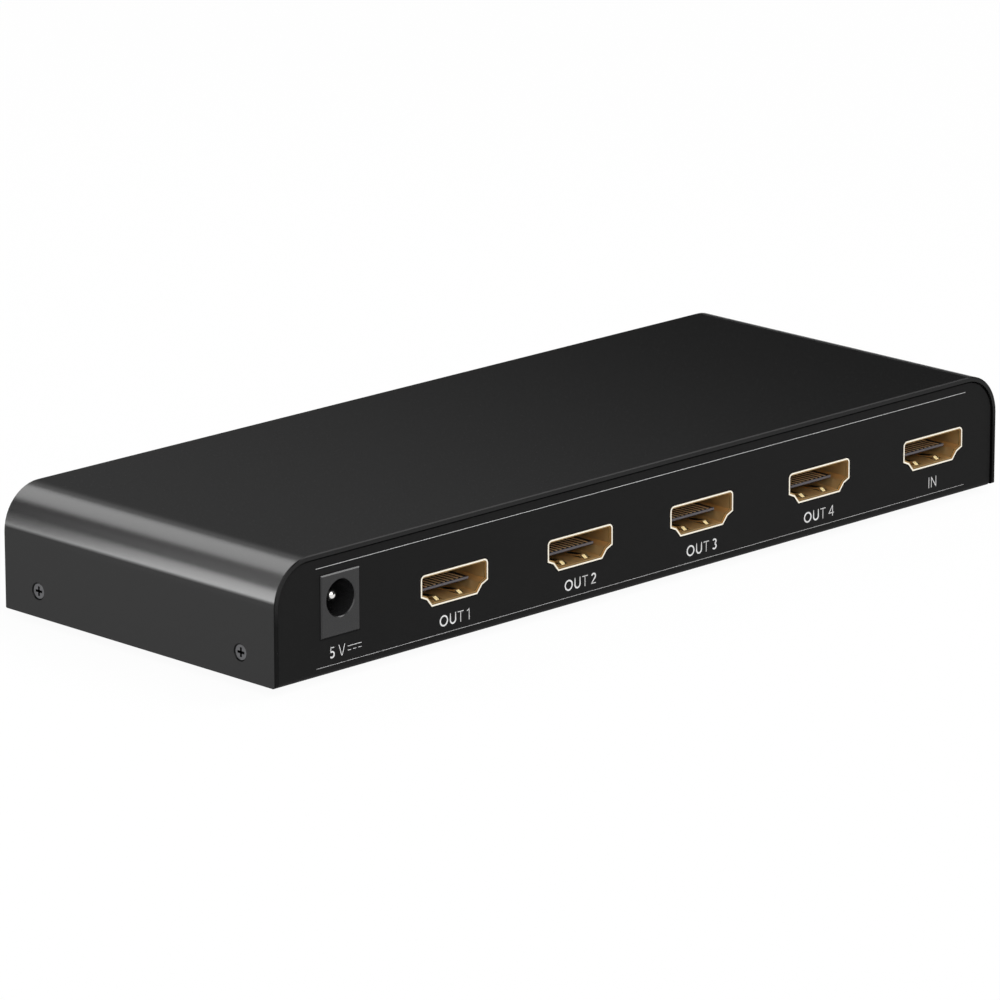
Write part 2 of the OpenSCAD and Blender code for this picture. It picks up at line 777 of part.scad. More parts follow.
// Tongue of an insulator, from its tip into the wall behind it
module tongue() {
    root = wall_y + past;
    upper = tongue_z + tongue_t;
    along_x(-tongue_w / 2, tongue_w / 2) polygon([
        [tongue_y + tongue_tip, tongue_z], [root, tongue_z], [root, upper],
        [tongue_y, upper], [tongue_y, tongue_z + tongue_tip]
    ]);
}

module socket_insulator(i) {
    color([0.2, 0.19, 0.18]) at_socket(i) difference() {
        union() {
            tongue();
            along_y(wall_y, heel_y) polygon(opening(-slip));
            block([-floor_w / 2, shell_l + slip, -board_drop], [floor_w / 2, heel_y, open_h / 2]);
        }
        each_contact() contact_slot();
    }
}

// Contact whose upper face is at z = 0 and whose foot stands on the board
module contact() {
    drop = $contact_z + board_drop;
    y0 = tongue_y + contact_set;
    y1 = contact_bend;
    t = contact_t;
    along_x(-contact_w / 2, contact_w / 2) polygon([
        [y0, -t], [y0, 0], [y1 + t, 0], [y1 + t, t - drop],
        [y1 + t + contact_foot, t - drop], [y1 + t + contact_foot, -drop], [y1, -drop], [y1, -t]
    ]);
}

module socket_contacts(i) {
    color([0.85, 0.7, 0.35]) at_socket(i) each_contact() contact();
}

// Power jack: its frame has the origin at its face, on the board
module at_jack() { lifted() translate([jack_x - case_w / 2, -panel_y - jack_proud, board_top]) children(); }

// Round bar along the jack's axis
module jack_bar(d, y0, y1) {
    translate([0, y0, jack_bore_z]) rotate([-90, 0, 0]) cylinder(d = d, h = y1 - y0);
}

// Square front of the jack, chamfered round its face
module jack_block() {
    c = jack_edge;
    w = jack_w / 2;
    h = jack_h;
    l = jack_front;
    intersection() {
        along_x(-w, w) polygon([[c, 0], [l, 0], [l, h], [c, h], [0, h - c], [0, c]]);
        linear_extrude(h) polygon([[-w, c], [c - w, 0], [w - c, 0], [w, c], [w, l], [-w, l]]);
    }
}

module dc_jack_housing() {
    barrel_w = jack_w - 2 * jack_shoulder;
    color([0.2, 0.2, 0.2]) at_jack() difference() {
        union() {
            jack_block();
            along_y(jack_front, jack_l) {
                translate([0, jack_bore_z]) circle(d = barrel_w);
                translate([-barrel_w / 2, 0]) square([barrel_w, jack_bore_z]);
            }
        }
        jack_bar(jack_bore_d, -past, jack_bore_l);
        jack_bar(jack_shank_d + 2 * slip, 0, jack_l + past);
        translate([0, 0, jack_bore_z]) rotate([-90, 0, 0])
            cylinder(d1 = jack_bore_d + 2 * jack_chamfer, d2 = jack_bore_d, h = jack_chamfer);
        block(
            [-spring_w / 2 - free, spring_y - free, spring_z - slip],
            [spring_w / 2 + free, jack_bore_l, jack_bore_z - jack_pin_d]
        );
        block(
            [-tab_w / 2 - free, spring_tab_y - free, -past],
            [tab_w / 2 + free, spring_tab_y + tab_t + free, spring_z]
        );
    }
}

module dc_jack_pin() {
    color([0.85, 0.85, 0.86]) at_jack() {
        translate([0, pin_y, jack_bore_z]) sphere(d = jack_pin_d);
        jack_bar(jack_pin_d, pin_y, jack_bore_l);
        jack_bar(jack_shank_d, jack_bore_l, jack_l + slip + tab_t / 2);
        block(
            [-tab_w / 2, jack_l + slip, -board_t - tab_out],
            [tab_w / 2, jack_l + slip + tab_t, jack_bore_z + jack_shank_d / 2]
        );
    }
}

module dc_jack_spring() {
    low = spring_z;
    crown = jack_bore_z - jack_bore_d / 2 + spring_rise;
    crown_y = (spring_y + spring_tab_y) / 2;
    t = spring_t;
    color([0.8, 0.8, 0.78]) at_jack() {
        along_x(-spring_w / 2, spring_w / 2) polygon([
            [spring_tab_y + tab_t, low], [spring_tab_y + tab_t, low + t], [spring_tab_y, low + t],
            [crown_y, crown], [spring_y, low + t], [spring_y, low], [crown_y, crown - t], [spring_tab_y, low]
        ]);
        block([-tab_w / 2, spring_tab_y, -board_t - tab_out], [tab_w / 2, spring_tab_y + tab_t, low + t / 2]);
    }
}

// Status lights
module status_lights() {
    color([0.9, 0.95, 0.9]) lifted() for (i = [0 : light_count - 1])
        translate([light_at(i), board_y1, light_z]) difference() {
            block([-light_w / 2, -light_d, -light_h / 2], [light_w / 2, 0, light_h / 2]);
            rotate([-90, 0, 0]) translate([0, 0, -light_window_deep])
                cylinder(d = light_window_d, h = light_window_deep + past);
        }
}

module light_pipes() {
    y0 = board_y1 + light_gap;
    inner = panel_y - base_t - slip;
    tip = panel_y + pipe_proud;
    color([0.9, 0.95, 1, 0.7]) lifted() for (i = [0 : light_count - 1]) translate([light_at(i), 0, light_z])
        rotate([-90, 0, 0]) {
            translate([0, 0, y0]) cylinder(d = pipe_d, h = tip - pipe_proud - y0);
            translate([0, 0, inner - pipe_collar_l]) cylinder(d = pipe_collar_d, h = pipe_collar_l);
            translate([0, 0, panel_y]) cylinder(d1 = pipe_d, d2 = pipe_d - 2 * pipe_proud, h = pipe_proud);
        }
}

// Splitter chip
module chip_body(w, l, t) {
    difference() {
        translate([0, 0, chip_lift]) linear_extrude(t) square([w, l], center = true);
        translate([mark_set - w / 2, mark_set - l / 2, chip_lift + t - mark_deep])
            cylinder(d = mark_d, h = mark_deep + past);
    }
}

// Bent lead that leaves a body's side at y = 0 and stands on the board
module lead(rise) {
    half = lead_reach / 2;
    along_x(-lead_w / 2, lead_w / 2) polygon([
        [slip, rise], [half, rise], [half, lead_t], [lead_reach, lead_t],
        [lead_reach, 0], [half - lead_t, 0], [half - lead_t, rise - lead_t], [slip, rise - lead_t]
    ]);
}

module lead_row(count, pitch, edge, rise) {
    for (k = [0 : count - 1]) translate([(k - (count - 1) / 2) * pitch, edge, 0]) lead(rise);
}

module at_chip() { lifted() translate(on_board([chip_x, chip_y])) children(); }

module splitter_chip() { color([0.12, 0.12, 0.13]) at_chip() chip_body(chip_w, chip_w, chip_t); }

module chip_leads() {
    color([0.8, 0.8, 0.8]) {
        at_chip() for (turn = [0 : 90 : 270]) rotate(turn)
            lead_row(lead_count, lead_pitch, chip_w / 2, chip_lift + chip_t / 2);
        lifted() for (at = [memory_at, regulator_at], turn = [0, 180]) translate(on_board(at)) rotate(turn)
            lead_row(small_leads, small_lead_pitch, small_chip_w / 2, chip_lift + small_chip_t / 2);
    }
}

module thermal_pad() {
    color([0.6, 0.65, 0.75]) at_chip() translate([0, 0, chip_lift + chip_t])
        linear_extrude(pad_t) square(chip_w, center = true);
}

module heat_sink() {
    gap = (sink_w - sink_fin_t) / (sink_fins - 1);
    color([0.7, 0.71, 0.73]) at_chip() translate([0, 0, chip_lift + chip_t + pad_t])
        along_y(-sink_w / 2, sink_w / 2) {
            translate([-sink_w / 2, 0]) square([sink_w, sink_t]);
            for (k = [0 : sink_fins - 1]) translate([k * gap - sink_w / 2, 0])
                square([sink_fin_t, sink_t + sink_fin_h]);
        }
}

// Small parts
module small_chip(at) {
    color([0.12, 0.12, 0.13]) lifted() translate(on_board(at))
        chip_body(small_chip_l, small_chip_w, small_chip_t);
}

module display_memory() { small_chip(memory_at); }

module power_regulator() { small_chip(regulator_at); }

module power_inductor() {
    color([0.25, 0.25, 0.26]) lifted() translate(on_board(inductor_at)) difference() {
        linear_extrude(inductor_h) rounded_square(inductor_w, inductor_w, inductor_r);
        translate([0, 0, inductor_h - inductor_dish_deep])
            cylinder(d = inductor_dish_d, h = inductor_dish_deep + past);
    }
}

module capacitor_bases() {
    w = can_d + 2 * can_base_out;
    cut = can_base_cut;
    color([0.1, 0.1, 0.1]) lifted() for (at = cans_at) translate(on_board(at)) linear_extrude(can_base_h)
        polygon([
            [-w / 2, -w / 2], [w / 2 - cut, -w / 2], [w / 2, cut - w / 2],
            [w / 2, w / 2 - cut], [w / 2 - cut, w / 2], [-w / 2, w / 2]
        ]);
}

// Can with a rolled groove near its foot and a round upper edge
module capacitor_cans() {
    r = can_d / 2;
    h = can_h - can_base_h;
    roll = can_roll_r;
    color([0.75, 0.76, 0.78]) lifted() for (at = cans_at) translate(on_board(at) + [0, 0, can_base_h])
        rotate_extrude() difference() {
            union() {
                square([r, h - roll]);
                square([r - roll, h]);
                translate([r - roll, h - roll]) circle(roll);
            }
            translate([r, can_groove_z]) circle(roll);
        }
}

module stadium(l, w) {
    square([l - w, w], center = true);
    for (side = [-1, 1]) translate([side * (l - w) / 2, 0]) circle(d = w);
}

module clock_crystal() {
    color([0.78, 0.78, 0.8]) lifted() translate(on_board(crystal_at)) {
        linear_extrude(crystal_rim_h) stadium(crystal_l + 2 * crystal_rim, crystal_w + 2 * crystal_rim);
        linear_extrude(crystal_h) stadium(crystal_l, crystal_w);
    }
}

// Rows on the board behind each socket's contacts
module coupling_capacitors() {
    w = coupling_w;
    color([0.6, 0.5, 0.4]) lifted() for (i = [0 : len(SOCKETS) - 1], k = [0 : coupling_count - 1]) {
        x = socket_at(i) + (k - (coupling_count - 1) / 2) * coupling_pitch;
        translate(on_board([x, coupling_y])) block([-w / 2, 0, 0], [w / 2, coupling_l, coupling_h]);
    }
}

module surge_arrays() {
    l = array_l;
    color([0.14, 0.14, 0.15]) lifted() for (i = [0 : len(SOCKETS) - 1])
        translate(on_board([socket_at(i), array_y])) block([-l / 2, 0, 0], [l / 2, array_w, array_h]);
}

top_cover();
base_tray();
cover_screws();
rubber_feet();
circuit_board();
board_standoffs();
board_screws();
for (i = [0 : len(SOCKETS) - 1]) {
    socket_shell(i);
    socket_insulator(i);
    socket_contacts(i);
}
dc_jack_housing();
dc_jack_pin();
dc_jack_spring();
status_lights();
light_pipes();
splitter_chip();
chip_leads();
thermal_pad();
heat_sink();
display_memory();
power_regulator();
power_inductor();
capacitor_cans();
capacitor_bases();
clock_crystal();
surge_arrays();
coupling_capacitors();
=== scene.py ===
# Looks of a video splitter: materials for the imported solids, printed markings, camera and light.
# Metres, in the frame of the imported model: +X along the sockets, which face -Y, and +Z up.
import math

import bmesh
import bpy
from mathutils import Matrix, Vector


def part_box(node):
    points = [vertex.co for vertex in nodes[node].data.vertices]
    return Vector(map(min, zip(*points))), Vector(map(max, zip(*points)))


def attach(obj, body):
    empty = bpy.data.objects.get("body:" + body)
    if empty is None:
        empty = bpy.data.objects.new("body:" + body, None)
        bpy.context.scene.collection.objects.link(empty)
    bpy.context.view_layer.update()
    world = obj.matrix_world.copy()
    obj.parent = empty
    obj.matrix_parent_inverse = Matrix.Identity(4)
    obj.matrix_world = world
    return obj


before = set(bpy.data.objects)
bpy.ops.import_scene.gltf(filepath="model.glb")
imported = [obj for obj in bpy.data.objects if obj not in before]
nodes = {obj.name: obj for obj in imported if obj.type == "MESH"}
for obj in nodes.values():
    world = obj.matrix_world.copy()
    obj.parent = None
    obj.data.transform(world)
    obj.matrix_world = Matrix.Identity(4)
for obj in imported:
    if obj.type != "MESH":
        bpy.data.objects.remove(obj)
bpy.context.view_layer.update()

MM = 0.001
SOCKETS = ["output_1", "output_2", "output_3", "output_4", "input"]

# Black coats: size and depth of their orange peel, and how much it changes the colour and the roughness
PEEL_SIZE = 0.22 * MM
PEEL_DEPTH = 0.002 * MM
PEEL_SHADE = 0.2
PEEL_ROUGH = 0.02
# Lacquer over the coat of the cover, as a share of a full layer
LACQUER_BEND = 1
LACQUER_SIDE = 0.175
LACQUER_TOP = 0.093
LACQUER_END = 0.1
LACQUER_EDGE = 0.05
LACQUER_INSIDE = 0.02
# Depths under the cover's top, and behind its sides, over which the lacquer changes
BEND_FOOT = (6.5 * MM, 6 * MM)
BEND_HEAD = (0.02 * MM, 0.4 * MM)
WALL_HEAD = (6 * MM, 10 * MM)
WALL_SKIN = (0.03 * MM, 0.08 * MM)
# The normal's Y over which the lacquer of the cover's rounded edges, then of its cut ends, takes over
EDGE_TURN = (0.1, 0.3)
END_TURN = (0.9, 0.98)

# Sockets: depths behind the lips over which the highlight painted on their edge, and the shade painted
# in the step behind it, end
LIP_HIGHLIGHT = (0.02 * MM, 0.04 * MM)
LIP_STEP_SHADE = (0.22 * MM, 0.5 * MM)
# Spring fingers: distance from the socket's middle, and from a finger's middle where the highlight
# painted on its ramp ends
FINGER_OFF = 2.6 * MM
FINGER_HIGHLIGHT = (0.34 * MM, 0.42 * MM)
# The normal's Y on the fingers' ramps, give or take, and on faces turned to the back of the socket
RAMP_TURN = -0.49
RAMP_RANGE = 0.15
BACK_TURN = (0.04, 0.09)
# Gold: two tones at random, painted shade, painted highlight on the fingers' ramps, painted shade in
# the step, painted highlight on the lips
GOLD_DEEP = (0.78, 0.50, 0.20)
GOLD_LIGHT = (0.92, 0.64, 0.30)
GOLD_PAINTED_SHADE = (0.04, 0.025, 0.012)
GOLD_PAINTED_HIGHLIGHT = (0.98, 0.84, 0.46)
GOLD_STEP_SHADE = (0.36, 0.23, 0.09)
GOLD_LIP_HIGHLIGHT = (0.98, 0.92, 0.79)
# Share of metal in the gold, plain and under the highlight painted on the fingers' ramps
GOLD_METAL = (0.85, 0.2)
# Depths over which the grey tips of the tongues end
TONGUE_TIP = (0.03 * MM, 0.06 * MM)
TONGUE_GREY = (0.115, 0.115, 0.135)
# Depths over which painted shade darkens the cover screws in their recesses
SCREW_SUNK = (0.04 * MM, 0.12 * MM)
SCREW_RECESS_SHADE = (0.004, 0.004, 0.004)
# Waves that stand for the board's copper runs: scale, and the heights between which their edges lie
RUN_SCALE = 1 / (9 * MM)
RUN_EDGE = (0.55, 0.62)

# Camera of the photograph: place, turn from +Y towards +X, look down, lean, and lens on its sensor
CAMERA_AT = Vector((-786.5, -786.82, 321.08)) * MM
CAMERA_YAW = math.radians(44.856)
CAMERA_PITCH = math.radians(15.668)
CAMERA_ROLL = math.radians(0.068)
LENS_MM = 248.9
SENSOR_MM = 36

# Print on the socket panel: heights above the cover's lower edge, and distances from the case's sides
INK_THICK = 0.012 * MM
UPPER_LINE = (17.62 * MM, 0.13 * MM)
LOWER_LINE = (1.28 * MM, 0.09 * MM)
LINE_LEFT = 9.2 * MM
LINE_RIGHT = 7.8 * MM
LABEL_RISE = 2.37 * MM
LABEL_CAP = 1.88 * MM
# Lettering, in heights of a capital: width of a stroke, space between letters and between words
STROKE = 0.14
LETTER_SPACE = 0.2
WORD_SPACE = 0.42
ARC_STEPS = 16
# Direct-current sign right of the voltage: distances of its ends from the case's left side, and heights
SIGN_LEFT = 16.0 * MM
SIGN_RIGHT = 19.0 * MM
SIGN_RISE = 3.66 * MM
SIGN_DASH_RISE = 2.99 * MM
SIGN_DASHES = 3
SIGN_DASH_GAP = 0.45 * MM
SIGN_SPACE = 0.5 * MM
SIGN_STROKE = 0.2 * MM

# Floor, which reaches to the horizon in every view: half width, share of white, and grey of the rest
FLOOR_HALF = 30
FLOOR_WHITE = 0.95
FLOOR_GREY = 0.9

# Lamps: place, point they are turned to, width and height, and brightness beside a white surface
MIDDLE = (0, 0, 0)
LAMPS = {
    "side_light": ((-0.273, 0.093, 0.0505), (-0.131, -0.047, 0.0505), (0.16, 0.09), 2.1),
    "bend_light": ((-0.242, 0.133, 0.184), (-0.142, -0.038, 0.019), (0.14, 0.14), 0.42),
    "back_light": ((0.04, 2.15, 2.08), MIDDLE, (1.8, 1.2), 1.28),
    "shoulder_light": ((1.1, 1.76, 1.4), MIDDLE, (0.6, 1.2), 0.18),
    "top_light": ((0.25, 0.3, 0.284), (0, 0.3, 0.284), (0.7, 0.32), 0.355),
    "front_light": ((-1.3, -2.2, 1.6), MIDDLE, (4.4, 2.9), 2.6),
    "right_light": ((1.75, -0.85, 2.25), MIDDLE, (1.3, 1.3), 6),
    "over_light": ((0, -0.2, 2.0), (0, -0.2, 0), (2.4, 1.8), 1.0),
}
# Room: height of the white horizon, and how bright it is above
HORIZON = 0.05
ROOM = 0.056


def socket_middle(socket):
    low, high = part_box(socket + "_shell")
    return (low.x + high.x) / 2


# Materials
class Surface:
    """A node material whose patterns are measured in metres on the object."""

    def __init__(self, name, **constants):
        self.material = bpy.data.materials.new(name)
        self.material.use_nodes = True
        self.tree = self.material.node_tree
        self.shader = self.tree.nodes["Principled BSDF"]
        where = self.node("ShaderNodeTexCoord").outputs
        self.place = where["Object"]
        self.normal = where["Normal"]
        for socket, value in constants.items():
            self.shader.inputs[socket.replace("_", " ")].default_value = value

    def node(self, kind, inputs=None, **settings):
        made = self.tree.nodes.new(kind)
        for name, value in settings.items():
            setattr(made, name, value)
        for name, value in (inputs or {}).items():
            self.put(value, made.inputs[name])
        return made

    def put(self, value, socket):
        """Links a socket to another, or sets its value."""
        if isinstance(value, bpy.types.NodeSocket):
            self.tree.links.new(value, socket)
        else:
            socket.default_value = value

    def sum(self, operation, *values):
        """Result of a sum with values, any of which may be sockets."""
        return self.node("ShaderNodeMath", dict(enumerate(values)), operation=operation).outputs[0]

    def split(self, vector):
        """The X, Y and Z of a vector, by name."""
        return self.node("ShaderNodeSeparateXYZ", {0: vector}).outputs

    def noise(self, size, detail=3, stretch=(1, 1, 1)):
        """Cloudy pattern from 0 to 1 with spots about that big, drawn out along the axes by stretch."""
        scale = [1 / (size * s) for s in stretch]
        spread = self.node("ShaderNodeMapping", {"Vector": self.place, "Scale": scale})
        inputs = {"Vector": spread.outputs[0], "Scale": 1, "Detail": detail}
        return self.node("ShaderNodeTexNoise", inputs).outputs["Fac"]

    def spread(self, value, start, end, low=0, high=1):
        """Carries a value's stretch from start to end over to low to high, and holds it outside."""
        ends = {"From Min": start, "From Max": end, "To Min": low, "To Max": high}
        return self.node("ShaderNodeMapRange", {"Value": value, **ends}).outputs["Result"]

    def under(self, value, face, depths):
        """Share that goes from 0 to 1 between two depths under a face."""
        return self.spread(value, face - depths[0], face - depths[1])

    def behind(self, value, face, depths):
        """Share that goes from 1 to 0 between two depths behind a face that looks to the front."""
        return self.spread(value, face + depths[0], face + depths[1], 1, 0)

    def blend(self, share, first, second):
        """Colour from first to second by a share; either may be a colour or a socket."""
        mix = self.node("ShaderNodeMix", {"Factor": share}, data_type="RGBA")
        for value, socket in ((first, "A"), (second, "B")):
            self.put((*value, 1) if isinstance(value, tuple) else value, mix.inputs[socket])
        return mix.outputs["Result"]

    def colour(self, pattern, dark, light):
        self.put(self.blend(pattern, dark, light), self.shader.inputs["Base Color"])

    def roughness(self, pattern, low, high):
        self.put(self.spread(pattern, 0, 1, low, high), self.shader.inputs["Roughness"])

    def bump(self, pattern, depth):
        made = self.node("ShaderNodeBump", {"Height": pattern, "Distance": depth, "Strength": 1})
        self.put(made.outputs["Normal"], self.shader.inputs["Normal"])


def coat(name, black, rough, **constants):
    """Satin black coat with a fine orange peel."""
    s = Surface(name, **constants)
    peel = s.noise(PEEL_SIZE)
    s.colour(peel, (black * (1 - PEEL_SHADE),) * 3, (black * (1 + PEEL_SHADE),) * 3)
    s.roughness(peel, rough, rough + PEEL_ROUGH)
    s.bump(peel, PEEL_DEPTH)
    return s


def cover_finish():
    """Coat of the cover under a lacquer: glossy on the bends, thinner on the flats and the cut ends."""
    s = coat(
        "case_coat", black=0.003, rough=0.26,
        Specular_IOR_Level=0.03, Coat_IOR=2.5, Coat_Roughness=0.27,
    )
    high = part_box("top_cover")[1]
    place = s.split(s.place)
    over_sides = s.under(place["Z"], high.z, BEND_FOOT)
    under_top = s.under(place["Z"], high.z, BEND_HEAD)
    flat = s.spread(over_sides, 0, 1, LACQUER_SIDE, LACQUER_TOP)
    lacquer = s.spread(s.sum("MULTIPLY", over_sides, under_top), 0, 1, flat, LACQUER_BEND)
    # Cut ends, with less lacquer on their rounded edges
    turn = s.sum("ABSOLUTE", s.split(s.normal)["Y"])
    end = s.spread(turn, *END_TURN, LACQUER_EDGE, LACQUER_END)
    lacquer = s.spread(s.spread(turn, *EDGE_TURN), 0, 1, lacquer, end)
    # Side walls inside their outer faces, which shows in their cut ends and countersinks
    wall = s.under(place["Z"], high.z, WALL_HEAD)
    skin = s.under(s.sum("ABSOLUTE", place["X"]), high.x, WALL_SKIN)
    lacquer = s.spread(s.sum("MULTIPLY", wall, skin), 0, 1, lacquer, LACQUER_INSIDE)
    s.put(lacquer, s.shader.inputs["Coat Weight"])
    return s.material


def grained(name, dark, light, rough, cloud, grain, depth, stretch=(1, 1, 1), **constants):
    """Mottled surface: colours and roughness vary in clouds, and a finer grain stands out by depth."""
    s = Surface(name, **constants)
    spots = s.noise(cloud, stretch=stretch)
    s.colour(spots, dark, light)
    s.roughness(spots, *rough)
    s.bump(s.noise(grain, stretch=stretch), depth)
    return s.material


def gold_plate():
    """Warm gold: painted highlights on the lips and on the fingers' ramps, painted shade behind the
    lips and on faces turned away.
    """
    s = Surface("gold_plate")
    lip_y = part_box("input_shell")[0].y
    place = s.split(s.place)
    # The painted highlight on the lips, and the painted shade in the step behind them
    lip_highlight = s.behind(place["Y"], lip_y, LIP_HIGHLIGHT)
    step_shade = s.behind(place["Y"], lip_y, LIP_STEP_SHADE)
    turn = s.split(s.normal)["Y"]
    ramp = s.sum("COMPARE", turn, RAMP_TURN, RAMP_RANGE)
    back = s.spread(turn, *BACK_TURN)
    # Distance from the middle of the nearest finger
    first = socket_middle(SOCKETS[0])
    pitch = socket_middle(SOCKETS[1]) - first
    off_socket = s.sum("PINGPONG", s.sum("SUBTRACT", place["X"], first), pitch / 2)
    off_finger = s.sum("ABSOLUTE", s.sum("SUBTRACT", off_socket, FINGER_OFF))
    # Where a highlight is painted on the middles of the fingers' ramps
    ramp_highlight = s.sum("MULTIPLY", ramp, s.spread(off_finger, *FINGER_HIGHLIGHT, 1, 0))

    spots = s.noise(size=1.6 * MM, stretch=(1, 4, 1))
    gold = s.blend(spots, GOLD_DEEP, GOLD_LIGHT)
    # Painted shade on the ramps and on faces turned to the back of the socket
    gold = s.blend(s.sum("MAXIMUM", ramp, back), gold, GOLD_PAINTED_SHADE)
    # Painted highlight on the middles of the fingers' ramps
    gold = s.blend(ramp_highlight, gold, GOLD_PAINTED_HIGHLIGHT)
    # Painted shade in the step behind the lips
    gold = s.blend(step_shade, gold, GOLD_STEP_SHADE)
    # Painted highlight on the lips
    s.colour(lip_highlight, gold, GOLD_LIP_HIGHLIGHT)
    # Less metal under the painted highlight, so that it shows
    s.put(s.spread(ramp_highlight, 0, 1, *GOLD_METAL), s.shader.inputs["Metallic"])
    s.roughness(spots, low=0.27, high=0.36)
    s.bump(s.noise(size=0.25 * MM, stretch=(1, 4, 1)), depth=0.0006 * MM)
    return s.material


def screw_finish():
    """Blackened steel of the cover screws, with painted shade down in their recesses."""
    s = Surface("screw_black", Metallic=1.0)
    face_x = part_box("cover_screws")[1].x
    across = s.sum("ABSOLUTE", s.split(s.place)["X"])
    # Depth under the screw face where the painted shade begins
    recess_shade = s.under(across, face_x, SCREW_SUNK)
    spots = s.noise(size=0.8 * MM)
    face = s.blend(spots, (0.1, 0.1, 0.104), (0.152, 0.152, 0.157))
    # Steel on the face, painted shade in the recesses
    s.colour(recess_shade, face, SCREW_RECESS_SHADE)
    s.roughness(spots, low=0.3, high=0.42)
    s.bump(s.noise(size=0.15 * MM), depth=0.002 * MM)
    return s.material


def socket_moulding():
    """Black plastic of the sockets' insulators, grey on the tips of their tongues."""
    s = Surface("socket_plastic", Specular_IOR_Level=0.08)
    tip_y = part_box("input_insulator")[0].y
    tip = s.behind(s.split(s.place)["Y"], tip_y, TONGUE_TIP)
    spots = s.noise(size=2 * MM)
    black = s.blend(spots, (0.014, 0.013, 0.013), (0.022, 0.021, 0.021))
    s.colour(tip, black, TONGUE_GREY)
    s.roughness(spots, low=0.42, high=0.55)
    s.bump(s.noise(size=0.1 * MM), depth=0.003 * MM)
    return s.material


cover_coat = cover_finish()
panel_coat = coat("panel_coat", black=0.0078, rough=0.5, Specular_IOR_Level=0.06).material
gold = gold_plate()
socket_plastic = socket_moulding()
jack_plastic = grained(
    "jack_plastic", (0.009, 0.009, 0.0094), (0.012, 0.012, 0.0124), (0.22, 0.3),
    cloud=4 * MM, grain=0.12 * MM, depth=0.004 * MM, Specular_IOR_Level=0.4,
)
nickel = grained(
    "nickel", (0.72, 0.71, 0.69), (0.82, 0.81, 0.79), (0.1, 0.2),
    cloud=1.2 * MM, grain=0.2 * MM, depth=0.001 * MM, Metallic=1.0,
)
spring_steel = grained(
    "spring_steel", (0.52, 0.51, 0.49), (0.64, 0.63, 0.61), (0.28, 0.4),
    cloud=1.5 * MM, grain=0.1 * MM, depth=0.001 * MM, stretch=(1, 6, 1), Metallic=1.0,
)
contact_gold = grained(
    "contact_gold", (0.82, 0.59, 0.36), (0.96, 0.72, 0.46), (0.3, 0.42),
    cloud=0.6 * MM, grain=0.1 * MM, depth=0.001 * MM, stretch=(1, 6, 1), Metallic=0.5,
)
screw_black = screw_finish()
foot_rubber = grained(
    "foot_rubber", (0.012, 0.012, 0.012), (0.024, 0.024, 0.024), (0.7, 0.85),
    cloud=2 * MM, grain=0.25 * MM, depth=0.02 * MM,
)
standoff_brass = grained(
    "standoff_brass", (0.60, 0.47, 0.22), (0.72, 0.58, 0.30), (0.22, 0.36),
    cloud=2 * MM, grain=0.15 * MM, depth=0.002 * MM, stretch=(5, 5, 1), Metallic=1.0,
)
tinned_metal = grained(
    "tinned_metal", (0.58, 0.58, 0.57), (0.70, 0.70, 0.69), (0.26, 0.42),
    cloud=0.8 * MM, grain=0.2 * MM, depth=0.004 * MM, Metallic=1.0,
)
chip_epoxy = grained(
    "chip_epoxy", (0.014, 0.014, 0.015), (0.024, 0.024, 0.025), (0.5, 0.68),
    cloud=3 * MM, grain=0.08 * MM, depth=0.004 * MM,
)
pad_silicone = grained(
    "pad_silicone", (0.32, 0.38, 0.48), (0.40, 0.46, 0.56), (0.6, 0.75),
    cloud=2 * MM, grain=0.3 * MM, depth=0.01 * MM,
)
sink_aluminium = grained(
    "sink_aluminium", (0.52, 0.53, 0.55), (0.64, 0.65, 0.67), (0.26, 0.4),
    cloud=1.5 * MM, grain=0.12 * MM, depth=0.004 * MM, stretch=(1, 12, 1), Metallic=1.0,
)
can_aluminium = grained(
    "can_aluminium", (0.62, 0.63, 0.65), (0.74, 0.75, 0.77), (0.18, 0.3),
    cloud=1.5 * MM, grain=0.15 * MM, depth=0.002 * MM, stretch=(1, 1, 5), Metallic=1.0,
)
ferrite = grained(
    "ferrite", (0.028, 0.028, 0.030), (0.05, 0.05, 0.052), (0.6, 0.8),
    cloud=1.2 * MM, grain=0.12 * MM, depth=0.01 * MM,
)
capacitor_base = grained(
    "capacitor_base", (0.014, 0.014, 0.014), (0.022, 0.022, 0.022), (0.5, 0.62),
    cloud=2 * MM, grain=0.1 * MM, depth=0.004 * MM,
)
capacitor_ceramic = grained(
    "capacitor_ceramic", (0.24, 0.16, 0.10), (0.34, 0.24, 0.15), (0.45, 0.6),
    cloud=0.5 * MM, grain=0.08 * MM, depth=0.004 * MM,
)
light_resin = grained(
    "light_resin", (0.72, 0.72, 0.66), (0.82, 0.82, 0.78), (0.25, 0.4),
    cloud=0.8 * MM, grain=0.1 * MM, depth=0.002 * MM, Coat_Weight=0.4,
)
pipe_acrylic = grained(
    "pipe_acrylic", (0.82, 0.86, 0.88), (0.90, 0.93, 0.95), (0.08, 0.18),
    cloud=1 * MM, grain=0.3 * MM, depth=0.001 * MM, Transmission_Weight=0.7, IOR=1.49,
)
print_ink = grained(
    "print_ink", (0.57, 0.57, 0.57), (0.64, 0.64, 0.64), (0.55, 0.7),
    cloud=0.8 * MM, grain=0.06 * MM, depth=0.002 * MM,
)


def board_laminate():
    """Green solder mask over a glass weave, with lighter runs where copper lies under it."""
    s = Surface("board_laminate", Coat_Weight=0.3)
    runs = s.node(
        "ShaderNodeTexWave",
        {"Vector": s.place, "Scale": RUN_SCALE, "Distortion": 2.5, "Detail": 1},
        bands_direction="X",
    )
    copper = s.spread(runs.outputs["Fac"], *RUN_EDGE)
    s.colour(copper, dark=(0.012, 0.075, 0.03), light=(0.022, 0.13, 0.05))
    s.roughness(s.noise(size=6 * MM, detail=2), low=0.28, high=0.4)
    s.bump(s.noise(size=0.4 * MM, detail=2), depth=0.004 * MM)
    return s.material


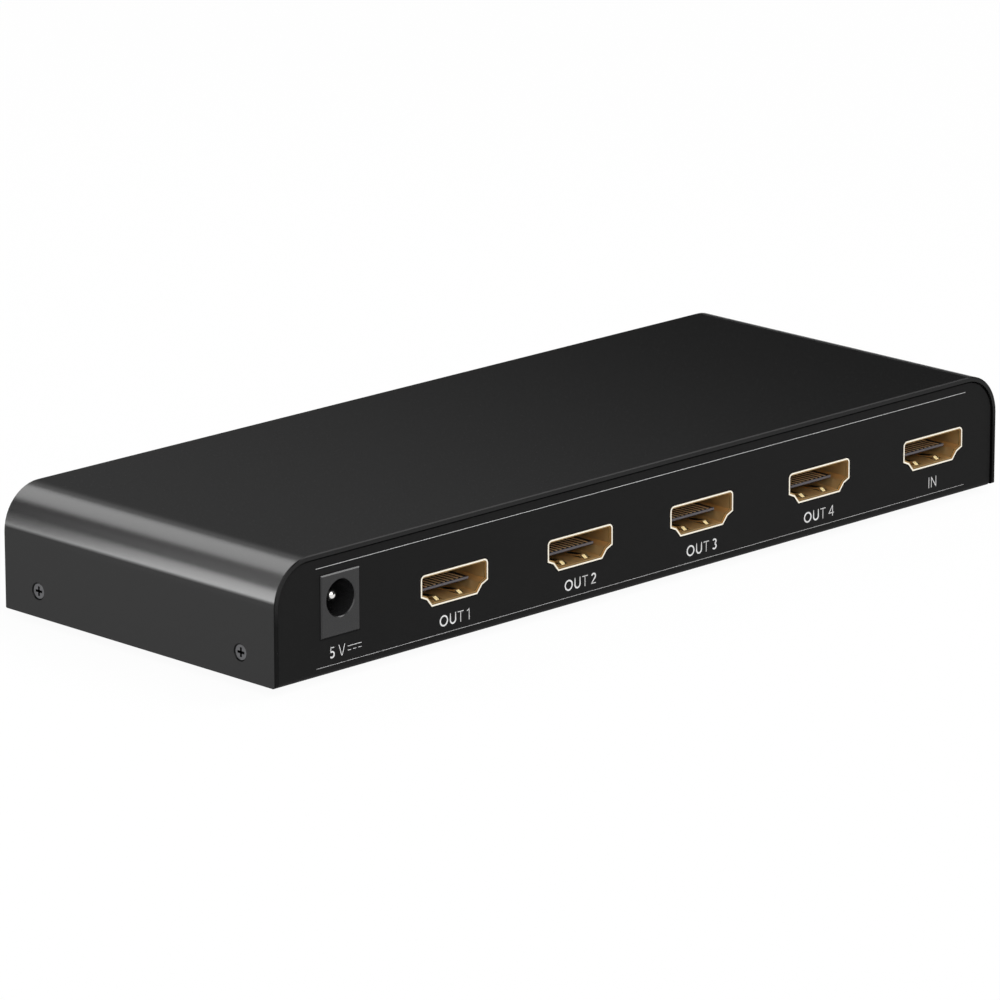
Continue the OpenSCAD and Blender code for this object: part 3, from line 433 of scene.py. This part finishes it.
LOOKS = {
    "top_cover": cover_coat,
    "base_tray": panel_coat,
    "cover_screws": screw_black,
    "rubber_feet": foot_rubber,
    "circuit_board": board_laminate(),
    "board_standoffs": standoff_brass,
    "board_screws": tinned_metal,
    "dc_jack_housing": jack_plastic,
    "dc_jack_pin": nickel,
    "dc_jack_spring": spring_steel,
    "status_lights": light_resin,
    "light_pipes": pipe_acrylic,
    "splitter_chip": chip_epoxy,
    "chip_leads": tinned_metal,
    "thermal_pad": pad_silicone,
    "heat_sink": sink_aluminium,
    "display_memory": chip_epoxy,
    "power_regulator": chip_epoxy,
    "power_inductor": ferrite,
    "capacitor_cans": can_aluminium,
    "capacitor_bases": capacitor_base,
    "clock_crystal": can_aluminium,
    "surge_arrays": chip_epoxy,
    "coupling_capacitors": capacitor_ceramic,
}
for socket in SOCKETS:
    LOOKS[socket + "_shell"] = gold
    LOOKS[socket + "_insulator"] = socket_plastic
    LOOKS[socket + "_contacts"] = contact_gold

for name, material in LOOKS.items():
    nodes[name].data.materials.clear()
    nodes[name].data.materials.append(material)


# Print on the socket panel
case_low, case_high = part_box("top_cover")
panel_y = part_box("base_tray")[0].y


def turned(points, k, closed):
    """Direction square to a path at its point k, as long as keeps the path's width round a bend."""
    n = len(points)
    here = Vector(points[k])
    ways = []
    if closed or k > 0:
        ways.append((here - Vector(points[k - 1])).normalized())
    if closed or k < n - 1:
        ways.append((Vector(points[(k + 1) % n]) - here).normalized())
    across = sum((Vector((-way.y, way.x)) for way in ways), Vector((0, 0)))
    return across / (1 + ways[0].dot(ways[-1]))


def add_stroke(form, points, width, closed=False):
    """A flat stroke of ink on the panel's face, along points in X and Z."""
    rings = []
    for k, point in enumerate(points):
        half = turned(points, k, closed) * width / 2
        sides = (Vector(point) + half, Vector(point) - half)
        places = [(side.x, y, side.y) for y in (panel_y - INK_THICK, panel_y) for side in sides]
        rings.append([form.verts.new(places[corner]) for corner in (0, 1, 3, 2)])
    pairs = list(zip(rings, rings[1:]))
    if closed:
        pairs.append((rings[-1], rings[0]))
    else:
        form.faces.new(rings[0])
        form.faces.new(rings[-1][::-1])
    for near, far in pairs:
        for k in range(4):
            form.faces.new((near[k - 1], near[k], far[k], far[k - 1]))


def add_print(name, strokes):
    """A piece of print that rides on the part, from strokes, each (points, width, closed)."""
    form = bmesh.new()
    for points, width, closed in strokes:
        add_stroke(form, points, width, closed)
    bmesh.ops.recalc_face_normals(form, faces=form.faces)
    mesh = bpy.data.meshes.new(name)
    form.to_mesh(mesh)
    form.free()
    mesh.materials.append(print_ink)
    piece = bpy.data.objects.new(name, mesh)
    bpy.context.scene.collection.objects.link(piece)
    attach(piece, "root")


def arc(x, z, rx, rz, start, end):
    """Points of an arc, its angles in degrees anticlockwise from the right."""
    turns = [math.radians(start + (end - start) * k / ARC_STEPS) for k in range(ARC_STEPS + 1)]
    return [(x + rx * math.cos(t), z + rz * math.sin(t)) for t in turns]


def letters():
    """Width and middle lines of each letter, for capitals that are 1 high."""
    h = STROKE / 2
    top = 1 - h
    return {
        "O": (1.0, [arc(0.5, 0.5, 0.5 - h, 0.5 - h, 0, 360)]),
        "U": (0.76, [[(h, 1), *arc(0.38, 0.38, 0.38 - h, 0.38 - h, 180, 360), (0.76 - h, 1)]]),
        "T": (0.68, [[(0, top), (0.68, top)], [(0.34, top), (0.34, 0)]]),
        "I": (STROKE, [[(h, 0), (h, 1)]]),
        "N": (0.76, [[(h, 0), (h, 1)], [(h, 0.97), (0.76 - h, 0.03)], [(0.76 - h, 0), (0.76 - h, 1)]]),
        "V": (0.82, [[(h, 1), (0.38, 0.02)], [(0.44, 0.02), (0.82 - h, 1)]]),
        "1": (0.32, [[(0, 0.8), (0.28, 0.96)], [(0.32 - h, 0), (0.32 - h, 1)]]),
        "2": (0.6, [[*arc(0.3, 0.7, 0.3 - h, 0.3 - h, 165, -35), (0.04, h)], [(0, h), (0.6, h)]]),
        "3": (0.58, [
            arc(0.28, 0.745, 0.21, 0.255 - h, 150, -80),
            arc(0.28, 0.28, 0.3 - h, 0.28 - h, 85, -150),
        ]),
        "4": (0.7, [[(0.52, 0), (0.52, 1)], [(0.5, 0.96), (0.05, 0.3)], [(0, 0.3), (0.7, 0.3)]]),
        "5": (0.58, [
            [(0.1, top), (0.52, top)],
            [(0.14, 1), (0.1, 0.52)],
            arc(0.27, 0.32, 0.31 - h, 0.32 - h, 130, -145),
        ]),
    }


LETTERS = letters()


def add_label(name, words, x, align):
    """Lettering on the panel; align is the share of its width that lies left of x."""
    placed = []
    reach = 0
    for letter in words:
        if letter == " ":
            reach += WORD_SPACE - LETTER_SPACE
            continue
        placed.append((reach, LETTERS[letter]))
        reach += LETTERS[letter][0] + LETTER_SPACE
    width = reach - LETTER_SPACE
    low = case_low.z + LABEL_RISE
    strokes = []
    for start, (_, lines) in placed:
        for line in lines:
            ring = (Vector(line[0]) - Vector(line[-1])).length < STROKE / 10
            line = line[:-1] if ring else line
            points = [
                (x + (start + u - align * width) * LABEL_CAP, low + v * LABEL_CAP)
                for u, v in line
            ]
            strokes.append((points, STROKE * LABEL_CAP, ring))
    add_print(name, strokes)


def level_stroke(x0, x1, rise, width):
    z = case_low.z + rise
    return ([(x0, z), (x1, z)], width, False)


line_ends = (case_low.x + LINE_LEFT, case_high.x - LINE_RIGHT)
add_print("panel_lines", [level_stroke(*line_ends, *line) for line in (UPPER_LINE, LOWER_LINE)])

sign = [level_stroke(case_low.x + SIGN_LEFT, case_low.x + SIGN_RIGHT, SIGN_RISE, SIGN_STROKE)]
dash_pitch = (SIGN_RIGHT - SIGN_LEFT + SIGN_DASH_GAP) / SIGN_DASHES
for k in range(SIGN_DASHES):
    start = case_low.x + SIGN_LEFT + k * dash_pitch
    sign.append(level_stroke(start, start + dash_pitch - SIGN_DASH_GAP, SIGN_DASH_RISE, SIGN_STROKE))
add_print("direct_current_sign", sign)

for k, socket in enumerate(SOCKETS[:-1]):
    add_label(socket + "_label", f"OUT {k + 1}", socket_middle(socket), 0.5)
add_label("input_label", "IN", socket_middle("input"), 0.5)
add_label("voltage_label", "5 V", case_low.x + SIGN_LEFT - SIGN_SPACE, 1)


# Camera
def add_camera():
    forward = Vector((
        math.sin(CAMERA_YAW) * math.cos(CAMERA_PITCH),
        math.cos(CAMERA_YAW) * math.cos(CAMERA_PITCH),
        -math.sin(CAMERA_PITCH),
    ))
    level = Vector((math.cos(CAMERA_YAW), -math.sin(CAMERA_YAW), 0))
    plumb = forward.cross(level)
    right = math.cos(CAMERA_ROLL) * level + math.sin(CAMERA_ROLL) * plumb
    axes = Matrix((right, right.cross(forward), -forward)).transposed()
    data = bpy.data.cameras.new("camera")
    data.lens = LENS_MM
    data.sensor_width = SENSOR_MM
    camera = bpy.data.objects.new("camera", data)
    camera.matrix_world = Matrix.Translation(CAMERA_AT) @ axes.to_4x4()
    bpy.context.scene.collection.objects.link(camera)
    bpy.context.scene.camera = camera


# Floor, light and world
def add_floor():
    form = bmesh.new()
    bmesh.ops.create_grid(form, x_segments=1, y_segments=1, size=FLOOR_HALF)
    mesh = bpy.data.meshes.new("floor")
    form.to_mesh(mesh)
    form.free()
    floor = bpy.data.objects.new("floor", mesh)
    bpy.context.scene.collection.objects.link(floor)
    s = Surface("floor_white")
    rays = s.node("ShaderNodeLightPath").outputs
    shown = rays["Is Camera Ray"]
    for kind in ("Is Glossy Ray", "Is Transmission Ray"):
        shown = s.sum("MAXIMUM", shown, rays[kind])
    share = s.sum("MULTIPLY", shown, FLOOR_WHITE)
    lit = s.node("ShaderNodeBsdfDiffuse", {"Color": (FLOOR_GREY, FLOOR_GREY, FLOOR_GREY, 1)})
    plain = s.node("ShaderNodeEmission", {"Color": (1, 1, 1, 1), "Strength": 1})
    mix = s.node("ShaderNodeMixShader", {0: share, 1: lit.outputs[0], 2: plain.outputs[0]})
    s.put(mix.outputs[0], s.tree.nodes["Material Output"].inputs["Surface"])
    mesh.materials.append(s.material)


def soft_box(name, at, aim, size, radiance):
    """Area lamp at a place, turned to a point, as bright as radiance times a white surface."""
    data = bpy.data.lights.new(name, "AREA")
    data.shape = "RECTANGLE"
    data.size, data.size_y = size
    data.energy = radiance * math.pi * size[0] * size[1]
    lamp = bpy.data.objects.new(name, data)
    lamp.location = at
    lamp.rotation_euler = (Vector(at) - Vector(aim)).to_track_quat("Z", "Y").to_euler()
    lamp.visible_camera = False
    bpy.context.scene.collection.objects.link(lamp)


def add_world():
    """Dark room, white along the horizon."""
    world = bpy.data.worlds.new("studio")
    bpy.context.scene.world = world
    world.use_nodes = True
    tree = world.node_tree
    direction = tree.nodes.new("ShaderNodeTexCoord")
    split = tree.nodes.new("ShaderNodeSeparateXYZ")
    rise = tree.nodes.new("ShaderNodeMapRange")
    rise.inputs["From Min"].default_value = 0
    rise.inputs["From Max"].default_value = HORIZON
    rise.inputs["To Min"].default_value = 1
    rise.inputs["To Max"].default_value = ROOM
    tree.links.new(direction.outputs["Generated"], split.inputs[0])
    tree.links.new(split.outputs["Z"], rise.inputs["Value"])
    tree.links.new(rise.outputs["Result"], tree.nodes["Background"].inputs["Color"])


add_camera()
add_floor()
add_world()
for name, lamp in LAMPS.items():
    soft_box(name, *lamp)

bpy.context.scene.view_settings.view_transform = "Standard"
